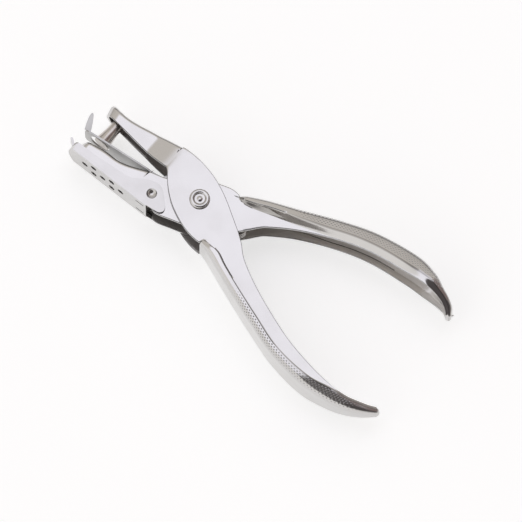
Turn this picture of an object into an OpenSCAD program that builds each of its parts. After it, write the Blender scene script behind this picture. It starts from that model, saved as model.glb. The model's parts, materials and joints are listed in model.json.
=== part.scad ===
// Plier hole punch: two stamped levers crossed on one rivet, lying on its side.
// The jaws point to -X, the handles to +X and the rivet to +Z. The origin is the middle of
// the tool's footprint on the table, z = 0, that the flat flanks of the two grips rest on.
// Every outline is drawn in millimetres from the rivet's centre, and each sheet piece is
// symmetrical about the mid plane.

/* [Sheet] */
// thickness of the lever sheet
sheet_t = 1.0; // [0.8:0.05:1.1]
// thickness of the stripper sheet
strip_t = 0.6; // [0.4:0.05:0.7]
// thickness of the chip catcher sheet
catch_t = 0.6; // [0.4:0.05:0.7]

/* [Widths] */
// outer width of the punch lever's flat cheeks
outer_w = 12.8; // [12.6:0.1:13.4]
// outer width of the two grips
grip_w = 16.4; // [15.2:0.1:18]
// outer width of the upper jaw
upper_jaw_w = 8.3; // [7.6:0.1:9]
// side gap between one sheet and the next one inside it
side_gap = 0.35; // [0.3:0.05:0.4]

/* [Levers] */
// stretch of the handles behind the rivet
handle_scale = 1.0; // [0.8:0.05:1.2]
// depth of the raised band along the back of a grip
band_depth = 3.0; // [2.6:0.1:3.2]
// outside radius of the bend between a grip's flank and its back
bend_r = 1.2; // [1.15:0.05:1.4]
// outside radius of the bends along the jaws
jaw_bend_r = 1.5; // [1.2:0.1:1.9]

/* [Punch and die] */
// diameter of the punched hole
hole_d = 5.8; // [5:0.1:6.2]
// smallest diameter of the punch at its waist
waist_d = 4.0; // [3.4:0.1:4.4]
// radial play of the punch in the die
die_play = 0.3; // [0.25:0.05:0.4]
// opening in the stripper around the punch
strip_hole_d = 7.8; // [7.6:0.1:8]

/* [Rivet and spring] */
// diameter of the rivet's shank
rivet_d = 5.0; // [4.4:0.1:5.4]
// diameter of the rivet's heads
head_d = 7.1; // [6.6:0.1:7.6]
// height of the rivet's heads
head_h = 1.1; // [0.8:0.1:1.3]
// wire of the opening spring
wire_d = 1.0; // [0.8:0.05:1.05]
// turns of the opening spring
turns = 4; // [3:1:4]

/* [Chip catcher] */
// outside level of the catcher's floor below the rivet
floor_y = 13.3; // [13.2:0.1:14]
// diameter of the seven vent holes
vent_d = 2.4; // [1.6:0.1:2.6]
// pitch of the vent holes along the floor
vent_pitch = 7.9; // [6.8:0.1:8]

/* [Part choice] */
// node to draw, or "all"

/* [Hidden] */

mid_z = grip_w / 2;
handle_x = 24;
middle_at = [(handle_x + 70.4 * handle_scale - 49.1) / 2, 1.05];
outer_h = outer_w / 2;
die_h = outer_h - sheet_t - side_gap;
die_in = die_h - sheet_t;
upper_h = upper_jaw_w / 2;
catch_h = die_h + side_gap + catch_t;
lap = 0.02;
run_play = 0.05;
round_n = 48;

// small helpers

function mix(a, b, k) = a + (b - a) * k;
function clamp(k, lo, hi) = min(max(k, lo), hi);
function unit(v) = v / norm(v);

// a point on the smooth curve through a list of points or of whole sections, k from 0 to 1
function spline_at(p, k) =
    let (n = len(p) - 1,
         s = clamp(k, 0, 1) * n,
         i = min(floor(s), n - 1),
         f = s - i,
         a = p[max(i - 1, 0)],
         b = p[i],
         c = p[i + 1],
         d = p[min(i + 2, n)])
    0.5 * (2 * b + (c - a) * f + (2 * a - 5 * b + 4 * c - d) * f * f
           + (3 * b - a - 3 * c + d) * f * f * f);

function spline(p, per) =
    let (n = (len(p) - 1) * per)
    [for (i = [0 : n]) spline_at(p, i / n)];

// flat plates on both sides of the mid plane, h the outer face, t the thickness
module cheeks(outline, h, t) {
    for (side = [0, 1])
        mirror([0, 0, side])
            translate([0, 0, h - t])
                linear_extrude(t) polygon(outline);
}

module across(r, h) {
    translate([0, 0, -h]) cylinder(r = r, h = 2 * h, $fn = round_n);
}

// from the rivet's centre to the middle of the footprint
module seated() {
    translate([-middle_at[0], -middle_at[1], mid_z]) children();
}

// A stamped lever is one sheet, drawn as rows of points, a row for each cut across it. A row
// runs from the side a to the side b as points [u, v], u along the cut and v the half width:
// the mid point and the bend of a fold at a, four points of the cheek, the bend and the mid
// point of a fold at b. A fold that a row does not have leaves its points unused.

bend_n = 4;
lead = bend_n + 1;
row_n = 2 * lead + 4;
crown = 0.04;
FOLD_A = 0;
FLAT = 1;
FOLD_B = 2;

function reversed(list) = [for (i = [len(list) - 1 : -1 : 0]) list[i]];
function filled(p) = [for (i = [1 : lead]) p];

// a row with its fold at a: flat and wide are the half widths of cheek and band, t the depth
// below the outer skin
function folded(depth, flat, wide, band, bend, t) =
    let (r = min(bend, depth * 0.42),
         f = max(flat - t, 0.2),
         w = max(wide - t, 0.2),
         ri = min(max(r - t, 0.12), w * 0.8),
         s = t > 0 ? r - max(r - t, 0.12) : 0,
         step = min(0.3, depth * 0.04),
         edge = clamp(band, r + step + 0.15, depth - step - 0.1),
         e = t > 0 ? max(edge - 0.7 * t, s + ri + step + 0.05) : edge)
    concat([[s - crown, 0]],
           [for (i = [0 : bend_n])
               let (q = 90 - 90 * i / bend_n) [s + ri - ri * sin(q), w - ri + ri * cos(q)]],
           [[e - step, w], [e + step, f], [depth, f]]);

function row_points(kind, depth, flat, wide, band, bend, t) =
    let (p = folded(depth, flat, wide, band, bend, t),
         f = max(flat - t, 0.2))
    kind == FOLD_A ? concat(p, filled([depth, f]))
    : kind == FOLD_B ? concat(filled([0, f]), reversed([for (q = p) [depth - q[0], q[1]]]))
    : concat(filled([0, f]), [[0, f], [depth * 0.45, f], [depth * 0.8, f], [depth, f]],
             filled([depth, f]));

// a row set up in space between its end points a and b
function row(kind, a, b, flat, wide, band, bend, t) =
    let (e = unit(b - a))
    [for (p = row_points(kind, norm(b - a), flat, wide, band, bend, t))
        [a[0] + e[0] * p[0], a[1] + e[1] * p[0], p[1]]];

// volume inside a closed set of triangles, negative if they are wound the wrong way round
function volume(points, faces) =
    let (part = [for (f = faces) points[f[0]] * cross(points[f[1]], points[f[2]]) / 6])
    part * [for (p = part) 1];

// the closed sheet between the outer and the inner rows and their mirror image, walled off at
// both ends: quads of both skins, rims along every free edge, walls over the first and last row
module stamped(kinds, outer, inner) {
    n = len(kinds);
    far = function (rows) [for (r = rows, p = r) [p[0], p[1], -p[2]]];
    near = function (rows) [for (r = rows) each r];
    points = concat(near(outer), near(inner), far(outer), far(inner));
    lo = function (i) kinds[i] == FOLD_A ? 0 : lead;
    hi = function (i) kinds[i] == FOLD_B ? row_n - 1 : lead + 3;
    cell = function (i, k)
        i >= 0 && i < n - 1 && k >= max(lo(i), lo(i + 1)) && k < min(hi(i), hi(i + 1));
    at = function (skin, side, i, k)
        (k == 0 || k == row_n - 1 ? skin : skin + 2 * side) * n * row_n + i * row_n + k;
    quad = function (flip, a, b, c, d) flip ? [[a, c, b], [a, d, c]] : [[a, b, c], [a, c, d]];
    skins = [for (side = [0, 1], skin = [0, 1], i = [0 : n - 2], k = [0 : row_n - 2])
        if (cell(i, k))
            each quad(side != skin, at(skin, side, i, k), at(skin, side, i + 1, k),
                      at(skin, side, i + 1, k + 1), at(skin, side, i, k + 1))];
    rim = function (side, i, k, j, m)
        quad(side == 1, at(0, side, i, k), at(0, side, j, m), at(1, side, j, m), at(1, side, i, k));
    edges = [for (side = [0, 1], i = [0 : n - 2])
        let (l = max(lo(i), lo(i + 1)), h = min(hi(i), hi(i + 1)))
        each concat(l > 0 ? rim(side, i + 1, l, i, l) : [],
                    h < row_n - 1 ? rim(side, i, h, i + 1, h) : [])];
    steps = [for (side = [0, 1], i = [1 : n - 2], k = [0 : row_n - 2])
        each cell(i, k) && !cell(i - 1, k) ? rim(side, i, k, i, k + 1)
            : cell(i - 1, k) && !cell(i, k) ? rim(side, i, k + 1, i, k) : []];
    walls = [for (i = [0, n - 1], skin = [0, 1], k = [lo(i) : hi(i) - 1])
        each quad((i > 0) != (skin == 1), at(skin, 0, i, k), at(skin, 0, i, k + 1),
                  at(skin, 1, i, k + 1), at(skin, 1, i, k))];
    close = function (i, k, flip)
        quad(flip, at(0, 0, i, k), at(1, 0, i, k), at(1, 1, i, k), at(0, 1, i, k));
    closes = concat(close(0, hi(0), false),
                    kinds[n - 1] == FOLD_B ? close(n - 1, lo(n - 1), false)
                                           : close(n - 1, hi(n - 1), true));
    faces = [for (f = concat(skins, edges, steps, walls, closes))
        if (f[0] != f[1] && f[1] != f[2] && f[0] != f[2]) f];
    polyhedron(points, volume(points, faces) > 0 ? [for (f = faces) [f[0], f[2], f[1]]] : faces,
               convexity = 8);
}

// rows of a jaw, from its nose, rounded in plan, to its rear end
nose_n = 8;
jaw_n = 13;

function jaw_rows(tops, bottoms, halves, rear_x, nose_x, r_nose, lean, t) =
    let (x0 = nose_x + r_nose)
    concat([for (i = [nose_n : -1 : 0])
               let (q = 86 * i / nose_n,
                    x = x0 - (r_nose - t) * sin(q),
                    half = (look_up(x0, halves) - t) * cos(q) + t)
               row(FOLD_A, [x, look_up(x, tops)], [x - lean * sin(q), look_up(x, bottoms)],
                   half, half, band_depth, jaw_bend_r, t)],
           [for (i = [1 : jaw_n])
               let (x = mix(x0, rear_x, i / jaw_n), half = look_up(x, halves))
               row(FOLD_A, [x, look_up(x, tops)], [x, look_up(x, bottoms)], half, half,
                   band_depth, jaw_bend_r, t)]);

// rows of the flat middle of a lever, each given as its two ends
function plate_rows(ends, half, t) =
    [for (e = ends) row(FLAT, [e[0], e[1]], [e[2], e[3]], half, half, 0, 0, t)];

// rows of a grip: a station is the open edge x, y, the back x, y, the width of the cheeks, the
// width of the band and the band's share of its full depth
grip_n = 27;

function stretched(s) =
    [s[0] + max(s[0] - handle_x, 0) * (handle_scale - 1), s[1],
     s[2] + max(s[2] - handle_x, 0) * (handle_scale - 1), s[3], s[4], s[5], s[6]];

function grip_rows(stations, kind, t) =
    let (list = [for (s = stations) stretched(s)])
    [for (i = [0 : grip_n])
        let (k = i / grip_n * (1 - t * 0.03),
             s = spline_at(list, k),
             open = [s[0], s[1]],
             back = [s[2], s[3]])
        row(kind, kind == FOLD_A ? back : open, kind == FOLD_A ? open : back,
            s[4] / 2, min(s[5], grip_w) / 2, band_depth * s[6], bend_r, t)];

function all_kinds(plates, grip) =
    concat([for (i = [0 : nose_n + jaw_n]) FOLD_A], [for (e = plates) FLAT],
           [for (i = [0 : grip_n]) grip]);

// smooth height of a curve given as points with growing x
function look_up(x, p) =
    let (n = len(p) - 1,
         i = x <= p[0][0] ? 0 : x >= p[n][0] ? n - 1
             : max([for (j = [0 : n - 1]) if (p[j][0] <= x) j]),
         f = clamp((x - p[i][0]) / (p[i + 1][0] - p[i][0]), 0, 1))
    mix(p[i][1], p[i + 1][1], f);

// punch lever: upper jaw, outer cheeks and the lower grip

jaw_rear = -16.5;
upper_top = [[-47, 10.4], [-44.6, 9.4], [-42, 8.6], [-38.5, 8.3], [-34.4, 8.65], [-28.8, 9.6],
             [-22.9, 10.5], [-16, 11.2]];
upper_bottom = [[-47, 4.9], [-37.4, 3.9], [-26.8, 2.6], [-21.5, 2.1], [-16, 2.0]];
joggle = [-25.6, -16.6];
upper_half = [for (i = [0 : 10])
    let (k = i / 10)
    [mix(joggle[0], joggle[1], k), mix(upper_h, outer_h, k * k * (3 - 2 * k))]];

// ends of the cuts across the flat middle, upper edge first
punch_middle = [[-16.25, 11.25, -16.25, 1.75], [-14.0, 11.3, -14.9, 0.7], [-11.0, 11.25, -12.6, -2.0],
                [-8.0, 10.95, -10.0, -4.5], [-4.5, 10.3, -6.7, -7.05], [-0.8, 9.3, -2.9, -9.1],
                [3.7, 7.45, 1.1, -10.8], [8.2, 5.05, 5.0, -11.8], [12.0, 2.7, 8.0, -12.1],
                [14.3, 1.3, 9.4, -12.1]];

punch_grip = [
    [14.6, 1.1, 9.7, -12.1, outer_w, outer_w + 0.4, 0.6],
    [17.6, -0.8, 12.9, -12.9, outer_w, grip_w - 0.7, 0.85],
    [20.9, -3.2, 15.9, -14.0, outer_w, grip_w, 1.1],
    [25.3, -7.05, 20.4, -15.8, outer_w, grip_w, 1.0],
    [33.2, -11.4, 29.2, -19.2, outer_w, grip_w, 1.0],
    [42.7, -15.5, 40.0, -23.1, outer_w + 0.3, grip_w, 1.0],
    [55.0, -19.85, 53.0, -27.3, outer_w + 0.8, grip_w, 0.95],
    [67.5, -22.5, 67.0, -29.3, outer_w + 1.6, grip_w, 1.15],
    [76.5, -23.2, 77.4, -28.3, outer_w + 2.8, grip_w, 1.4],
    [82.0, -22.6, 84.0, -26.5, 12.0, 12.8, 1.3],
    [86.2, -21.2, 88.6, -24.0, 8.8, 9.4, 1.2],
    [89.4, -19.95, 91.6, -21.9, 6.2, 6.8, 1.1],
    [91.6, -18.8, 93.6, -20.2, 4.2, 4.6, 1.0],
    [92.9, -17.9, 94.4, -19.1, 2.6, 2.9, 1.0]];

function punch_rows(t) =
    concat(jaw_rows(upper_top, upper_bottom, upper_half, jaw_rear, -46.35, 4.6, -1.1, t),
           plate_rows(punch_middle, outer_h, t),
           grip_rows(punch_grip, FOLD_B, t));

module punch_lever() {
    color("silver") seated() difference() {
        stamped(all_kinds(punch_middle, FOLD_B), punch_rows(0), punch_rows(sheet_t));
        across(rivet_d / 2 + 0.02, outer_h + 1);
        translate([pin_x, 6, 0]) rotate([-90, 0, 0]) cylinder(r = tenon_r + 0.02, h = 4, $fn = round_n);
    }
}

// punch: a turned pin, waisted between its cutting end and its shoulder, its tenon riveted
// flush with the top of the jaw

pin_x = -40.1;
pin_tip = -4.15;
web_top = look_up(pin_x, upper_top);
tenon_r = 1.5;

module punch_pin() {
    r = hole_d / 2;
    w = waist_d / 2;
    shoulder = look_up(pin_x + w + 0.3, upper_top) - sheet_t - lap;
    waist = [for (i = [0 : 10])
        let (k = i / 10, y = mix(pin_tip + 0.9, shoulder - 1.2, k))
        [w + (r - w) * pow(1 - k, 2.2) + 0.12 * k * k, y]];
    color("gray") seated()
        translate([pin_x, 0, 0]) rotate([-90, 0, 0]) rotate_extrude($fn = round_n)
            polygon(concat([[0, pin_tip + 0.35], [r - 0.9, pin_tip + 0.2], [r - 0.15, pin_tip],
                            [r, pin_tip + 0.15]], waist,
                           [[w + 0.3, shoulder - 0.7], [w + 0.3, shoulder], [tenon_r, shoulder],
                            [tenon_r, web_top - 0.05], [0, web_top + 0.05]]));
}

// pivot rivet: shank with two upset heads, each with a rolled rim around a dished middle

module pivot_rivet() {
    s = rivet_d / 2;
    h = head_d / 2;
    z0 = outer_h + lap;
    z1 = z0 + head_h;
    side = [[s, z0], [h, z0], [h, z0 + head_h * 0.3], [h - 0.25, z0 + head_h * 0.7],
            [h - 0.75, z1], [h - 1.15, z1], [h - 1.4, z1 - 0.15], [h - 1.6, z1 - 0.55],
            [h - 2.3, z1 - 0.62], [h - 2.8, z1 - 0.5], [0.35, z1 - 0.35], [0, z1 - 0.3]];
    color("lightgray") seated() rotate_extrude($fn = round_n)
        polygon(concat([for (p = side) p],
                       [for (i = [len(side) - 1 : -1 : 0]) [side[i][0], -side[i][1]]]));
}

module pivot_sleeve() {
    color("gray") seated() difference() {
        across(rivet_d / 2 + 1.1, ear_h - strip_t - lap * 2);
        across(rivet_d / 2 + run_play, ear_h + 1);
    }
}

// die lever: lower jaw, inner cheeks and the upper grip

lower_top = [[-45, -7.9], [-43.7, -7.35], [-41.4, -6.85], [-39.3, -6.55], [-37.5, -6.3],
             [-35.6, -6.15], [-31.4, -6.1], [-28.2, -5.5], [-24, -4.0], [-19.5, -2.3]];
lower_bottom = [[-45, -11.6], [-12, -11.6]];
lower_half = [[-45, die_h], [-12, die_h]];
lower_rear = -20;

die_middle = [[-19.7, -2.6, -19.7, -11.6], [-16.5, -1.75, -16.5, -11.6], [-14.2, -1.0, -14.4, -11.6],
              [-12.0, 0.2, -12.3, -11.6], [-11.2, 0.7, -11.4, -13.25], [-8, 3.1, -8.6, -12.95],
              [-4.5, 6.2, -3.6, -11.55], [-1, 8.3, 1.3, -10.05], [1.5, 9.0, 5.0, -8.4],
              [3.6, 9.7, 8.6, -6.4], [5.4, 10.2, 12, -4.3], [7.2, 10.35, 14.6, -2.4],
              [8.8, 10.2, 17.4, 0.0]];

die_grip = [
    [18.2, 0.9, 9.4, 10.15, die_h * 2, die_h * 2 + 0.5, 0.6],
    [19.9, 2.9, 11.2, 10.95, die_h * 2, grip_w - 0.8, 0.9],
    [21.4, 4.8, 14.4, 12.7, die_h * 2, grip_w, 1.05],
    [24.0, 7.3, 19.4, 15.1, die_h * 2, grip_w, 1.0],
    [32.9, 13.0, 29.4, 19.3, die_h * 2 + 0.5, grip_w, 1.0],
    [46.0, 18.95, 42.8, 25.1, die_h * 2 + 1.5, grip_w, 1.4],
    [57.4, 22.3, 55.0, 29.2, die_h * 2 + 2.4, grip_w, 1.5],
    [70.6, 24.0, 70.0, 31.4, die_h * 2 + 3.8, grip_w, 1.7],
    [77.5, 24.5, 78.6, 30.2, die_h * 2 + 5.4, grip_w, 1.6],
    [82.3, 24.4, 83.8, 28.1, 13.4, 14.2, 1.4],
    [85.6, 23.9, 87.2, 26.7, 10.6, 11.2, 1.2],
    [88.0, 23.1, 89.7, 25.1, 7.4, 8.0, 1.1],
    [89.7, 21.9, 91.3, 23.4, 4.8, 5.2, 1.0],
    [90.4, 20.8, 91.7, 21.9, 2.7, 3.0, 1.0]];

die_tilt = 6;
die_at = [-39.62, -6.9];
pivot_at = [-14.0, -8.6];
dimple_r = 2.8;
dimple_z = catch_h + 1.2;
dimple_hole = sqrt(pow(dimple_r, 2) - pow(dimple_z - die_h, 2)) + 0.06;

function die_rows(t) =
    concat(jaw_rows(lower_top, lower_bottom, lower_half, lower_rear, -44.9, 3.2, 0, t),
           plate_rows(die_middle, die_h, t),
           grip_rows(die_grip, FOLD_A, t));

module die_lever() {
    color("silver") seated() difference() {
        stamped(all_kinds(die_middle, FOLD_A), die_rows(0), die_rows(sheet_t));
        across(rivet_d / 2 + run_play, outer_h + 1);
        translate([die_at[0], die_at[1], 0]) rotate([0, 0, die_tilt]) rotate([-90, 0, 0])
            translate([0, 0, -3]) cylinder(r = hole_d / 2 + die_play, h = 5, $fn = round_n);
        translate([pivot_at[0], pivot_at[1], 0]) across(dimple_hole, outer_h + 1);
        translate([pivot_at[0], pivot_at[1], 0]) clear_arc();
    }
}

// room for the rear edge of the catcher's floor when the catcher swings
module clear_arc() {
    r = floor_y + pivot_at[1] + 0.9;
    linear_extrude(outer_w, center = true)
        polygon(concat([[-1.6, -2.6], [-1.6, -7]],
                       [for (a = [-80 : 8 : -32]) [r * cos(a), r * sin(a)]],
                       [[2.4, -2.6]]));
}

// stripper: a strip over the die with a hole for the punch, an ear turned up at its front
// corner and two ears behind that sit on the rivet between the die lever's cheeks

strip_half = 4.7;
ear_h = die_in - 0.2;
strip_line = [[-46.9, -4.6], [-41.8, -4.1], [-36, -3.6], [-27.5, -2.8], [-21, -2.2], [-16.4, -1.55],
              [-12.2, -0.9]];
strip_hole_at = [-40.6, -3.95];

module strip_profile() {
    low = spline(strip_line, 2);
    n = len(low) - 1;
    polygon(concat([for (p = low) [p[0], p[1] - strip_t / 2]],
                   [for (i = [n : -1 : 0]) [low[i][0], low[i][1] + strip_t / 2]]));
}

module stripper() {
    corner = 2;
    back = -12.4;
    plan = concat([for (a = [0 : 15 : 90]) [-46.7 + corner * (1 - sin(a)), strip_half - corner * (1 - cos(a))]],
                  [for (a = [90 : -15 : 0]) [-46.7 + corner * (1 - sin(a)), -strip_half + corner * (1 - cos(a))]],
                  [[-21.5, -strip_half], [-19.5, -ear_h], [back, -ear_h], [back, ear_h],
                   [-19.5, ear_h], [-21.5, strip_half]]);
    ear = [[-15.8, -1.75], [-14.6, 0.3], [-12.2, 1.9], [-8, 3.4], [-2.2, 4.1], [2, 3.6], [4, 1],
           [3.6, -2], [1.2, -4], [-2.5, -4], [-8, -3.3], [-12.4, -1.35]];
    leaf = [[-46.9, -4.7], [-47.2, -4.0], [-47.9, -2.4], [-48.5, -0.6], [-48.75, 0.8], [-48.5, 1.6],
            [-47.8, 1.2], [-46.9, -0.1], [-46.0, -1.6], [-45.1, -3.3], [-44.5, -4.3]];
    color("darkgray") seated() difference() {
        union() {
            intersection() {
                linear_extrude(strip_half * 2, center = true) strip_profile();
                rotate([90, 0, 0]) linear_extrude(20, center = true) polygon(plan);
            }
            cheeks(spline(ear, 2), ear_h, strip_t);
            translate([0, 0, strip_half - strip_t]) linear_extrude(strip_t) polygon(spline(leaf, 2));
        }
        across(rivet_d / 2 + run_play, outer_h);
        translate([strip_hole_at[0], strip_hole_at[1], 0]) rotate([0, 0, 5.5]) rotate([-90, 0, 0])
            translate([0, 0, -2]) cylinder(d = strip_hole_d, h = 4, $fn = round_n);
    }
}

// chip catcher: floor with seven vents, bowed front wall with a finger lip, two side plates
// with a dimple each

catch_side = [[-45.4, -10.9], [-42.6, -10.55], [-39.2, -10.35], [-35.9, -9.9], [-30.9, -9.5],
              [-25.5, -9.1], [-22.6, -8.3], [-20, -6.6], [-17.3, -5.1], [-14.5, -4.45],
              [-12.3, -4.95], [-10.3, -6.6], [-8.5, -8.3], [-7.3, -9.7], [-6.95, -11.1],
              [-7.7, -12.2], [-9.2, -12.6], [-11.9, -12.85]];
catch_rear = -12.8;
front_x = -45.0;
bow = 2.0;

// plan of the trough, inset by t, from its rear end round the bowed front
function trough(t, rear) =
    let (h = catch_h - t,
         r = (pow(catch_h, 2) + pow(bow, 2)) / (2 * bow),
         cx = front_x - bow + r)
    concat([[rear, -h]],
           [for (i = [-8 : 8]) let (z = h * i / 8) [cx - sqrt(pow(r - t, 2) - z * z), z]],
           [[rear, h]]);

module chip_catcher() {
    bottom = -floor_y;
    side = concat(spline(catch_side, 2), [[catch_rear, bottom + 0.3], [front_x, bottom + 0.3]]);
    color("silver") seated() difference() {
        union() {
            difference() {
                union() {
                    translate([0, bottom, 0]) rotate([-90, 0, 0]) mirror([0, 1, 0])
                        linear_extrude(3.2) polygon(trough(0, catch_rear));
                    cheeks(side, catch_h, catch_t);
                }
                translate([0, bottom + catch_t, 0]) rotate([-90, 0, 0]) mirror([0, 1, 0])
                    linear_extrude(20) polygon(trough(catch_t, 0));
            }
            lip();
            for (s = [0, 1])
                mirror([0, 0, s]) dimple_out();
        }
        for (s = [0, 1])
            mirror([0, 0, s])
                translate([pivot_at[0], pivot_at[1], dimple_z]) sphere(r = dimple_r - catch_t, $fn = round_n);
        vents(bottom);
        for (s = [-1, 1])
            translate([-15.6, bottom - 1, s * 3.6]) cube([3.4, 3, 0.6], center = true);
    }
}

module dimple_out() {
    intersection() {
        translate([pivot_at[0], pivot_at[1], dimple_z]) sphere(r = dimple_r, $fn = round_n);
        translate([pivot_at[0] - 4, pivot_at[1] - 4, 0]) cube([8, 8, catch_h - catch_t / 2]);
    }
}

module lip() {
    base = front_x - bow;
    linear_extrude(5, center = true)
        polygon([[base + 0.5, -11.4], [base + 0.5, -10.5], [base - 1.4, -9.1], [base - 2.0, -9.1],
                 [base - 2.1, -9.7], [base - 0.5, -10.8], [base + 0.1, -11.5]]);
}

module vents(bottom) {
    x0 = -39.8;
    for (i = [0 : 2])
        translate([x0 + i * vent_pitch, bottom - 1, 0]) rotate([-90, 0, 0])
            cylinder(d = vent_d, h = 3, $fn = 24);
    for (i = [0, 1], s = [-1, 1])
        translate([x0 + (i + 0.5) * vent_pitch, bottom - 1, s * 2.75]) rotate([-90, 0, 0])
            cylinder(d = vent_d, h = 3, $fn = 24);
}

// opening spring: close coils on the mid plane, a leg into each grip, each leg's end turned
// square to the back of the grip it pushes on

coil_at = [15.9, 1.8];
coil_r = 2.3;
per_turn = 12;
pitch = wire_d + 0.5;
corner_r = 0.9;
leg_gap = 0.06;

function polar(a, r) = [r * cos(a), r * sin(a)];
function left(v) = [-v[1], v[0]];

// outward direction and place of the back of a grip at one of its stations
function back_at(grip, i) = [grip[i][2], grip[i][3]];
function back_out(grip, i, side) = side * left(unit(back_at(grip, i + 1) - back_at(grip, i - 1)));

// where a leg leaves the coil as a tangent, for a leg that starts at the point p
function leave_angle(p, side) =
    let (d = p - coil_at) atan2(d[1], d[0]) + side * acos(coil_r / norm(d));
function leave_point(p, side) = coil_at + polar(leave_angle(p, side), coil_r);

// a leg from its corner to its end: side is 1 for a turn to the left, -1 to the right
function corner_at(grip, i, side) =
    back_at(grip, i) - back_out(grip, i, side) * (sheet_t + leg_gap + wire_d * 1.1)
    + side * corner_r * left(back_out(grip, i, side));
function corner_start(c, side, tries) =
    tries == 0 ? c : c - side * corner_r * left(unit(c - leave_point(corner_start(c, side, tries - 1), side)));
function leg(grip, i, side) =
    let (m = back_out(grip, i, side),
         c = corner_at(grip, i, side),
         a = corner_start(c, side, 3),
         e = c - side * corner_r * left(m),
         a0 = atan2(a[1] - c[1], a[0] - c[0]),
         a1 = atan2(e[1] - c[1], e[0] - c[0]),
         turn = side * ((side * (a1 - a0) + 720) % 360))
    concat([for (j = [0 : 4]) c + polar(a0 + turn * j / 4, corner_r)], [e + m * wire_d * 1.1]);

leg_up = leg([for (s = die_grip) stretched(s)], 4, 1);
leg_down = leg([for (s = punch_grip) stretched(s)], 4, -1);
up_a = leave_angle(leg_up[0], 1);
down_a = leave_angle(leg_down[0], -1);
sweep = 360 * (turns - 1) + (720 + down_a - up_a) % 360;
coil_steps = round(per_turn * sweep / 360);

coils = [for (i = [0 : coil_steps])
    let (k = i / coil_steps,
         p = coil_at + polar(up_a + sweep * k, coil_r))
    [p[0], p[1], (0.5 - k) * pitch * sweep / 360]];

function lifted(list, z) = [for (p = list) [p[0], p[1], z]];

start_leg = lifted(leg_up, coils[0][2]);
end_leg = lifted(leg_down, coils[coil_steps][2]);
spring_path = concat([for (i = [len(start_leg) - 1 : -1 : 0]) start_leg[i]], coils, end_leg);

near_points = [for (i = [0 : len(coils) - 1], j = [i + round(per_turn / 2) : 1 : len(coils) - 1])
    norm(coils[i] - coils[j])];
spring_gap = min(near_points) - wire_d;
echo(spring_gap = spring_gap);

module tube(path, r, sides) {
    n = len(path);
    rings = [for (i = [0 : n - 1])
        let (t = unit(path[min(i + 1, n - 1)] - path[max(i - 1, 0)]),
             u = unit(cross(t, [0, 0, 1])),
             v = cross(u, t))
        each [for (k = [0 : sides - 1])
            path[i] + r * (u * cos(360 * k / sides) + v * sin(360 * k / sides))]];
    skin = [for (i = [0 : n - 2], k = [0 : sides - 1])
        let (a = i * sides + k, b = i * sides + (k + 1) % sides, c = b + sides, d = a + sides)
        each [[a, b, c], [a, c, d]]];
    ends = [for (k = [1 : sides - 2])
        each [[0, k + 1, k], [(n - 1) * sides, (n - 1) * sides + k, (n - 1) * sides + k + 1]]];
    polyhedron(rings, concat(skin, ends));
}

module torsion_spring() {
    color("dimgray") seated() tube(spring_path, wire_d / 2, 8);
}

punch_lever();
punch_pin();
pivot_rivet();
pivot_sleeve();
die_lever();
stripper();
chip_catcher();
torsion_spring();
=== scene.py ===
# %% [markdown]
# # A plier hole punch
# The tool is two nickel plated sheet levers, crossed on one rivet like scissors. Between the
# jaws sit a waisted punch and a springy stripper, and under the lower jaw hangs a thin trough
# that catches the chips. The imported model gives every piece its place; this file gives the
# pieces their finished forms and surfaces. First comes the frame, and the box that it fills.

# %% The frame
import json
from math import cos, hypot, pi, radians, sin, sqrt

import bmesh
import bpy
from mathutils import Matrix, Vector


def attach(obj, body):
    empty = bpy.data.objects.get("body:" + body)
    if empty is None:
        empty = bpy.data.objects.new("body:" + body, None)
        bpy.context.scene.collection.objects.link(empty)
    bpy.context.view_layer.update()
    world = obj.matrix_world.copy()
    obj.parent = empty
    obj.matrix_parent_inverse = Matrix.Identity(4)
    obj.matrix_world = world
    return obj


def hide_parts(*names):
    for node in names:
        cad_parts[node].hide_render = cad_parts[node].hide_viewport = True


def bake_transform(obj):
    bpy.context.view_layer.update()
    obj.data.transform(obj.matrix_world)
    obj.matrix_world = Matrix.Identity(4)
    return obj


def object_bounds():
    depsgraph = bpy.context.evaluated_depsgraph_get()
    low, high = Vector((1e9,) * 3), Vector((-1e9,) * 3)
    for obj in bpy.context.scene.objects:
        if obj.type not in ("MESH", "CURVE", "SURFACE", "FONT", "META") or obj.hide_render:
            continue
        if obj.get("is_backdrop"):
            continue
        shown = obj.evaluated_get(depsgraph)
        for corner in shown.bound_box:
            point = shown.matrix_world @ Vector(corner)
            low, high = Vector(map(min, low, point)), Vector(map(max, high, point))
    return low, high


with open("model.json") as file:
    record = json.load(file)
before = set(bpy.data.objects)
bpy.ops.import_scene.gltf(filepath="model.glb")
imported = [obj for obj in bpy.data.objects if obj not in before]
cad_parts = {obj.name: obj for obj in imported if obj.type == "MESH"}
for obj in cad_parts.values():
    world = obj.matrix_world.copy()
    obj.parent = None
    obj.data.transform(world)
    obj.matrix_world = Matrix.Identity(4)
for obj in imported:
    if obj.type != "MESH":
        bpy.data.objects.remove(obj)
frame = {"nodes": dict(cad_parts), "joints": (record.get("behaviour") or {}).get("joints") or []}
cad_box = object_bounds()
print("nodes:", sorted(frame["nodes"]))

# %% [markdown]
# Everything on the tool is drawn from the rivet, as a maker's drawing would be: X runs along
# the tool, Y across the opening of the jaws, and Z along the rivet from the middle of the
# sheet. `at` turns such a place in millimetres into the frame's metres.

# %% Places on the tool
MM = 0.001
RIVET = Vector(next(j["pos_m"] for j in frame["joints"] if j["name"] == "lever_pivot")) / MM


def at(x, y, z=0.0):
    return (Vector((x, y, z)) + RIVET) * MM


print("rivet at", [round(c, 2) for c in RIVET], "mm")
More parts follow.
